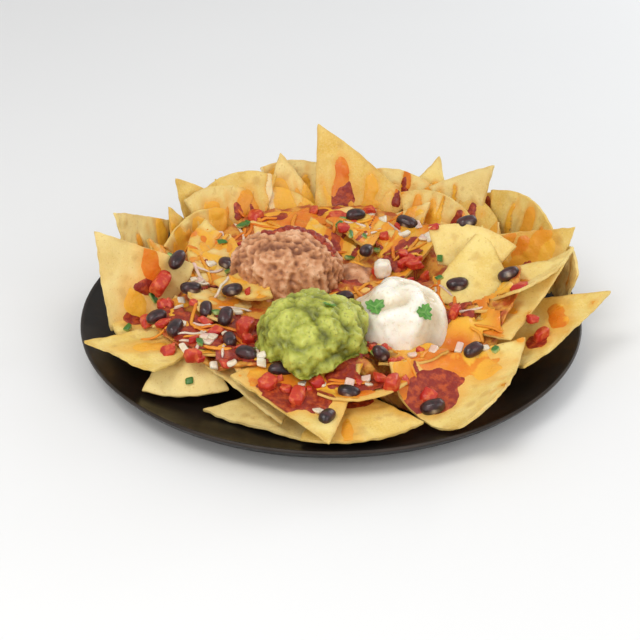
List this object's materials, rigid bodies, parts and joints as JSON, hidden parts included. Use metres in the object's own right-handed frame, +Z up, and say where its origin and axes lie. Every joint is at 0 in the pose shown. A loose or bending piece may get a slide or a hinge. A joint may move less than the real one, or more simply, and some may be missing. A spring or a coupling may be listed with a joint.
{
  "type": "nachos",
  "caption": "Plate of nachos: tortilla chips stood round and over a cheesy heap topped with refried beans, guacamole, sour cream, black beans and diced tomato, on a dark round plate.",
  "frame": {"origin": "centre of the plate's flat foot, on the table", "axes": "+Z up; -Y towards the front of the plate, where the chips lie low; +X to the right seen from the front"},
  "size_m": [0.3052, 0.2941, 0.0794],
  "materials": {
    "plate": "semi-gloss dark glaze",
    "chip": "dry, blistered, browned in spots",
    "heap": "melted cheese over chips and sauce",
    "refried_beans": "moist paste",
    "guacamole": "moist, lumpy",
    "sour_cream": "smooth and moist",
    "black_bean": "wet skin",
    "tomato": "wet cut flesh",
    "cheese": "melted, oily",
    "salsa": "wet, pulpy",
    "onion": "moist, slightly see-through",
    "greens": "fresh cut leaf and pepper"
  },
  "bodies": {
    "root": {"plate": "plate", "nacho_heap": "heap", "chip_left_back": "chip", "chip_left_inner": "chip", "chip_left_outer": "chip", "chip_back_left_tip": "chip", "chip_back_left_round": "chip", "chip_back_left_outer": "chip", "chip_back_small_tip": "chip", "chip_back_outer": "chip", "chip_back_tall": "chip", "chip_back_middle": "chip", "chip_back_right_tip": "chip", "chip_back_right_inner": "chip", "chip_right_back_tip": "chip", "chip_right_back_outer": "chip", "chip_right_back": "chip", "chip_right_outer": "chip", "chip_left_low": "chip", "chip_right_tip": "chip", "chip_right_inner": "chip", "chip_right_wall": "chip", "chip_left_over_rim": "chip", "chip_front_left": "chip", "chip_front_flat": "chip", "chip_front_edge": "chip", "chip_front_tip": "chip", "chip_front_round": "chip", "chip_front_trough": "chip", "chip_right_over_rim": "chip", "refried_beans": "refried_beans", "sour_cream": "sour_cream", "guacamole": "guacamole", "black_bean_01": "black_bean", "black_bean_02": "black_bean", "black_bean_03": "black_bean", "black_bean_04": "black_bean", "black_bean_05": "black_bean", "black_bean_06": "black_bean", "black_bean_07": "black_bean", "black_bean_08": "black_bean", "black_bean_09": "black_bean", "black_bean_10": "black_bean", "black_bean_11": "black_bean", "black_bean_12": "black_bean", "black_bean_13": "black_bean", "black_bean_14": "black_bean", "black_bean_15": "black_bean", "black_bean_16": "black_bean", "tomato_01": "tomato", "tomato_02": "tomato", "tomato_03": "tomato", "tomato_04": "tomato", "tomato_05": "tomato", "tomato_06": "tomato", "tomato_07": "tomato", "tomato_08": "tomato", "tomato_09": "tomato", "tomato_10": "tomato", "tomato_11": "tomato"}
  },
  "joints": []
}
